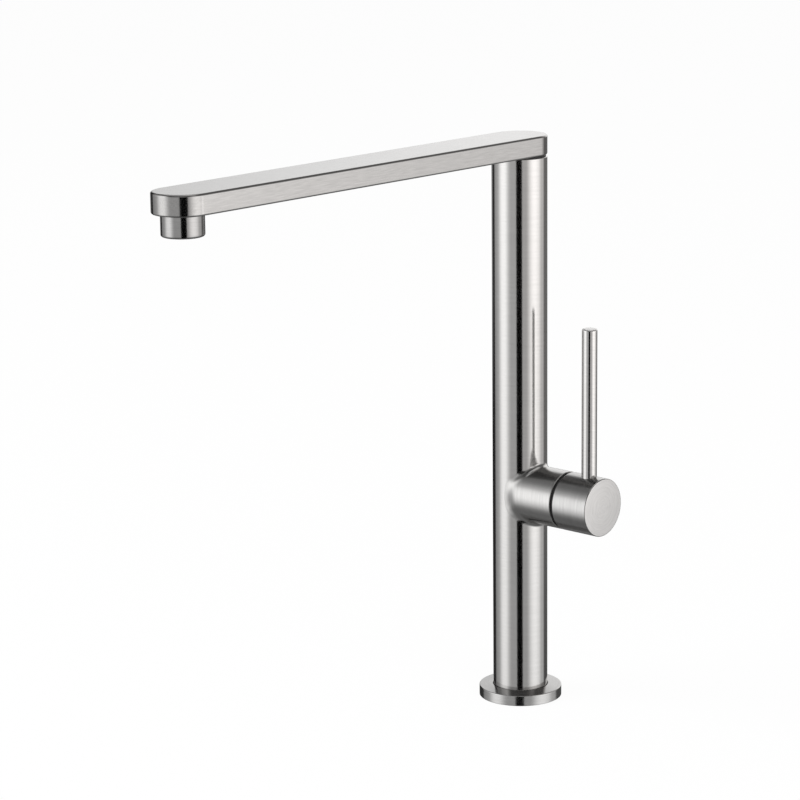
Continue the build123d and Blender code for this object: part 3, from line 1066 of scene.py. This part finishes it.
@dataclass
class Handle(Assembly):
    """The turning cap with its upright lever and grub screw."""

    radius: float = STUB_RADIUS
    height: float = VALVE_HEIGHT
    start: float = 37.7
    end: float = 62.1
    cavity: float = STUB_BORE
    cavity_end: float = 43.7
    hub: float = 5.02
    hub_end: float = 57.6
    inner_ease: float = 0.4
    end_ease: float = 0.5
    crown: float = 0.4
    crown_steps: int = 6
    lever_radius: float = 4.4
    lever_thread: float = 3.0
    lever_bottom: float = 130.7
    lever_seat: float = 136.7
    lever_top: float = 228.0
    lever_ease: float = 1.1
    seat_gap: float = 0.02
    screw_hole: float = 2.02
    cap_steel: Steel = Steel(
        "spun_steel_cap",
        Lay.ROUND_X,
        VALVE_CENTRE,
        tone=(0.475, 0.47, 0.465),
        roughness=0.2,
        # Painted light: the cap's outer end face is painted lighter than its barrel
        flats=(PaintedFlat(Facing.ALONG_X, 1.76, 0.4, both_sides=False),),
    )
    lever_steel: Steel = Steel(
        "brushed_steel_lever",
        Lay.ROUND_Z,
        LEVER_CENTRE,
        tone=(0.65, 0.642, 0.632),
        roughness=0.1,
        # Painted light: the lever's domed top is painted lighter than its sides
        flats=(PaintedFlat(Facing.ALONG_Z, 1.5, 0.45, full=0.55, fade=0.4),),
    )

    def cap(self) -> Piece:
        """Build the turned cap.

        Returns:
            The cap with its seat and screw hole.
        """
        outline: Outline = [
            (self.hub, self.cavity_end, 0.0),
            (self.cavity, self.cavity_end, 0.0),
            (self.cavity, self.start, BORE_EASE),
            (self.radius, self.start, self.inner_ease),
            (self.radius, self.end - self.crown, self.end_ease),
        ]
        for step in range(self.crown_steps - 1, -1, -1):
            part = step / self.crown_steps
            outline.append((self.radius * part, self.end - self.crown * part ** 2, 0.0))
        outline = [(0.0, self.hub_end, 0.0), (self.hub, self.hub_end, 0.0)] + outline
        cap = turned("handle_knob", outline, Axis.STUB, VALVE_CENTRE, False)
        seat = self.lever_radius + self.seat_gap
        top, low = self.height + self.radius + OVERCUT, self.height - self.radius - OVERCUT
        bore(cap, cutter("lever_hole", seat, self.lever_seat, top, Axis.UP, LEVER_CENTRE))
        bore(cap, cutter("screw_hole", self.screw_hole, low, self.height, Axis.UP, LEVER_CENTRE))
        return cap

    def lever(self) -> Piece:
        """Build the upright lever.

        Returns:
            The lever.
        """
        outline: Outline = [
            (0.0, self.lever_bottom, 0.0),
            (self.lever_thread, self.lever_bottom, 0.0),
            (self.lever_thread, self.lever_seat, 0.0),
            (self.lever_radius, self.lever_seat, 0.0),
            (self.lever_radius, self.lever_top, self.lever_ease),
            (0.0, self.lever_top, 0.0),
        ]
        return turned("lever", outline, Axis.UP, LEVER_CENTRE, False)

    def build(self) -> None:
        """Build the cap and the lever and dress the spindle's pieces."""
        self.fit(self.cap(), "handle", "spun_steel", self.cap_steel, "handle_cap")
        self.fit(self.lever(), "handle", "brushed_steel", self.lever_steel, "lever_pin")
        self.carry(SPRING_STEEL, "handle_set_screw")
        self.carry(BRASS, "spindle")
        self.carry(DARK_POLYMER, "spline_bush")
        self.carry(RUBBER, "spindle_o_ring")
        self.carry(CERAMIC, "moving_disc")


@dataclass
class Waterways(Assembly):
    """The tubes and the swivel joint inside the column."""

    def build(self) -> None:
        """Dress the carried-over inner pieces."""
        self.carry(BRASS, "hot_inlet_tube", "cold_inlet_tube", "riser_tube")
        self.carry(BRASS, "collar_base", "top_collar", "spout_pivot")
        self.carry(PALE_POLYMER, "upper_bush", "lower_bush")
        self.carry(RUBBER, "upper_o_ring", "lower_o_ring")
        self.carry(SPRING_STEEL, "swivel_stop_pin", "retaining_clip")


# Studio


@dataclass(frozen=True)
class Span:
    """A soft-edged stretch of angles, in degrees."""

    middle: float
    half: float
    feather: float

    def share(self, angle: Tone) -> Tone:
        """Return 1 within the stretch, falling softly to 0 beside it."""
        return angle.within(self.middle, self.half, self.feather)


ALL_ROUND = Span(0.0, 180.0, 1.0)


@dataclass(frozen=True)
class Panel:
    """A soft light or shade on the walls, by its bearing right of the camera and its height."""

    level: float
    bearing: Span
    height: Span

    def glow(self, bearing: Tone, height: Tone) -> Tone:
        """Return how strong the panel is in each direction."""
        return self.level * self.bearing.share(bearing) * self.height.share(height)


@dataclass(frozen=True)
class Lamp:
    """A square soft lamp: where it hangs in millimetres, its side in metres and its watts."""

    name: str
    place: Point
    size: float
    power: float


@dataclass
class Studio:
    """A pale floor, soft walls round it and the camera."""

    azimuth: float = 42.271
    elevation: float = 12.894
    roll: float = -0.65
    distance: float = 1700.0
    aim_side: float = -69.745
    aim_height: float = 179.835
    focal_pixels: float = 2921.576
    image_pixels: float = 800.0
    sensor: float = 36.0
    clip_end: float = 100.0
    floor_radii: tuple[float, ...] = (200.0, 1000.0, 4000.0, 12000.0)
    floor_steps: int = 96
    floor_finish: Matt = Matt("floor", (0.9, 0.9, 0.9), 0.95)
    even_light: float = 0.6
    front_height: Span = Span(4.0, 5.0, 47.0)
    front_boxes: tuple[tuple[float, Span], ...] = (
        (0.585, Span(-5.0, 119.0, 8.0)),
        (0.17, Span(0.0, 40.0, 15.0)),
        (1.49, Span(-72.0, 4.0, 30.0)),
        (0.2, Span(-98.0, 6.0, 16.0)),
        (1.6, Span(63.0, 4.0, 36.0)),
        (0.37, Span(97.0, 10.0, 14.0)),
    )
    front_shades: tuple[Panel, ...] = (
        Panel(1.0, Span(120.0, 50.0, 20.0), Span(90.0, 68.0, 16.0)),
        Panel(0.6, Span(60.0, 105.0, 20.0), Span(90.0, 78.0, 10.0)),
        Panel(0.35, Span(-98.0, 16.0, 12.0), Span(40.0, 8.0, 14.0)),
        Panel(0.3, Span(-98.0, 16.0, 12.0), Span(-45.0, 8.0, 12.0)),
    )
    rear_box: Panel = Panel(1.43, Span(18.0, 10.0, 34.0), Span(14.0, 10.0, 18.0))
    rear_height: Span = Span(45.0, 46.0, 6.0)
    patches: tuple[Panel, ...] = (
        Panel(0.2, Span(120.0, 50.0, 20.0), Span(90.0, 68.0, 16.0)),
        Panel(0.22, Span(-115.0, 25.0, 20.0), Span(42.0, 8.0, 14.0)),
        Panel(0.35, Span(-173.0, 6.0, 8.0), Span(24.0, 6.0, 6.0)),
        Panel(0.1, Span(-162.0, 14.0, 12.0), Span(38.0, 8.0, 8.0)),
        Panel(0.3, Span(-165.0, 13.0, 7.0), Span(-6.0, 4.0, 4.0)),
        Panel(0.23, Span(141.0, 19.0, 8.0), Span(-6.0, 6.0, 10.0)),
        Panel(0.75, ALL_ROUND, Span(90.0, 28.0, 8.0)),
        Panel(0.24, ALL_ROUND, Span(-90.0, 50.0, 30.0)),
    )
    least_light: float = 0.03
    warm_side: Panel = Panel(1.0, Span(80.0, 50.0, 60.0), Span(90.0, 102.0, 6.0))
    wall_tone: Colour = (0.8, 0.8, 0.8)
    warm_tone: Colour = (0.812, 0.796, 0.787)
    card_finish: Matt = Matt("black_card", (0.004, 0.004, 0.004))
    card_distance: float = 823.0
    card_side: float = -62.0
    card_width: float = 351.0
    card_low: float = -1000.0
    card_high: float = 400.0
    lamps: tuple[Lamp, ...] = (
        Lamp("key_lamp", (-1400.0, -1700.0, 2200.0), 1.8, 46.0),
        Lamp("fill_lamp", (2100.0, -900.0, 1500.0), 1.8, 26.0),
    )
    lamp_aim: Point = (0.0, 0.0, 150.0)

    def level(self) -> tuple[Vector, Vector]:
        """Return the level directions to the camera's right and towards it."""
        turn = math.radians(self.azimuth)
        return Vector((math.cos(turn), math.sin(turn), 0.0)), Vector((math.sin(turn), -math.cos(turn), 0.0))

    def camera(self) -> None:
        """Set the camera at the photograph's angle."""
        right, near = self.level()
        rise, lean = math.radians(self.elevation), math.radians(self.roll)
        back = near * math.cos(rise) + Vector(UPWARD) * math.sin(rise)
        up = back.cross(right)
        aim = right * self.aim_side + Vector(UPWARD) * self.aim_height
        across = right * math.cos(lean) + up * math.sin(lean)
        upward = up * math.cos(lean) - right * math.sin(lean)
        place = Matrix((across, upward, back)).transposed().to_4x4()
        place.translation = (aim + back * self.distance) * MM
        lens = bpy.data.cameras.new("camera")
        lens.sensor_width = self.sensor
        lens.lens = self.focal_pixels / self.image_pixels * self.sensor
        lens.clip_end = self.clip_end
        view = linked("camera", lens)
        view.matrix_world = place
        bpy.context.scene.camera = view

    def floor(self) -> None:
        """Lay the pale floor, which keeps the faucet's shadow."""
        section = [(radius, 0.0) for radius in (0.0, *self.floor_radii)]
        floor = lay_skin("floor", turned_rings(section, Axis.UP, ORIGIN, self.floor_steps), False)
        floor.data.materials.append(self.floor_finish.material())
        floor.visible_glossy = False

    def walls(self, graph: Graph) -> tuple[Tone, Tone]:
        """Return how bright the studio is in each direction, and in what colour.

        Args:
            graph: The world's graph.

        Returns:
            The brightness and the colour that polished metal sees.
        """
        way = graph.node("TexCoord", output="Generated")
        axes = (*self.level(), Vector(UPWARD))
        side, near, rise = [graph.vector("DOT_PRODUCT", way, tuple(axis), output=1) for axis in axes]
        degree = math.degrees(1.0)
        bearing = side.math("ARCTAN2", side, near) * degree
        rear = side.math("ARCTAN2", side, 0.0 - near) * degree
        height = rise.math("ARCSINE", rise) * degree

        levels = [level * span.share(bearing) for level, span in self.front_boxes]
        front = sum(levels[1:], levels[0]) * self.front_height.share(height)
        for shade in self.front_shades:
            front = front * (1.0 - shade.glow(bearing, height))
        bright = front + self.rear_box.glow(rear, height) * self.rear_height.share(height)
        for patch in self.patches:
            bright = bright + patch.glow(bearing, height)
        warm = self.warm_side.glow(bearing, height)
        colour = graph.mix(warm, paint(self.wall_tone), paint(self.warm_tone))
        return bright.above(self.least_light), colour

    def card(self) -> None:
        """Stand a black card before the camera, which only the metal mirrors."""
        right, near = self.level()
        middle = near * self.card_distance + right * self.card_side
        ends = [middle + right * (self.card_width * part) for part in (-0.5, 0.5)]
        heights = (self.card_low, self.card_high)
        corners = [Vector((end.x, end.y, height)) * MM for height in heights for end in ends]
        mesh = bpy.data.meshes.new("black_card")
        mesh.from_pydata(corners, [], [(0, 1, 3, 2)])
        mesh.materials.append(self.card_finish.material())
        card = linked("black_card", mesh)
        card.visible_camera = card.visible_diffuse = card.visible_shadow = False

    def world(self) -> None:
        """Paint the walls for metal, and an even light for everything else."""
        world = bpy.data.worlds.new("studio")
        bpy.context.scene.world = world
        world.use_nodes = True
        graph = Graph(world.node_tree)
        even = graph.node("Background", {"Color": paint(WHITE), "Strength": self.even_light})
        white = graph.node("Background", {"Color": paint(WHITE), "Strength": 1.0})
        bright, colour = self.walls(graph)
        seen = graph.node("Background", {"Color": colour, "Strength": bright})
        rays = graph.node("LightPath").socket.node.outputs
        mirrored = Tone(graph, rays["Is Glossy Ray"]) + Tone(graph, rays["Is Transmission Ray"])
        camera = Tone(graph, rays["Is Camera Ray"])
        backdrop = graph.node("MixShader", {0: mirrored.below(1.0), 1: even, 2: seen})
        mixed = graph.node("MixShader", {0: camera, 1: backdrop, 2: white})
        graph.node("OutputWorld", {"Surface": mixed})

    def hang(self, lamp: Lamp) -> None:
        """Hang a lamp that points at the faucet.

        Args:
            lamp: The lamp.
        """
        light = bpy.data.lights.new(lamp.name, "AREA")
        light.size, light.energy = lamp.size, lamp.power
        hung = linked(lamp.name, light)
        hung.location = Vector(lamp.place) * MM
        aim = Vector(self.lamp_aim) * MM - hung.location
        hung.rotation_euler = aim.to_track_quat("-Z", "Y").to_euler()
        hung.visible_glossy = False

    def build(self) -> None:
        """Set up the whole studio."""
        bpy.context.scene.view_settings.view_transform = "Standard"
        self.camera()
        self.floor()
        self.card()
        self.world()
        for lamp in self.lamps:
            self.hang(lamp)


def main() -> None:
    """Build the studio and the faucet, group by group."""
    logging.basicConfig(level=logging.INFO, format="%(message)s", stream=sys.stdout)
    Studio().build()
    for group in (Foot(), Column(), Spout(), Aerator(), ValveStub(), Handle(), Waterways()):
        LOG.info("building %s", type(group).__name__)
        group.build()


if __name__ == "__main__":
    main()
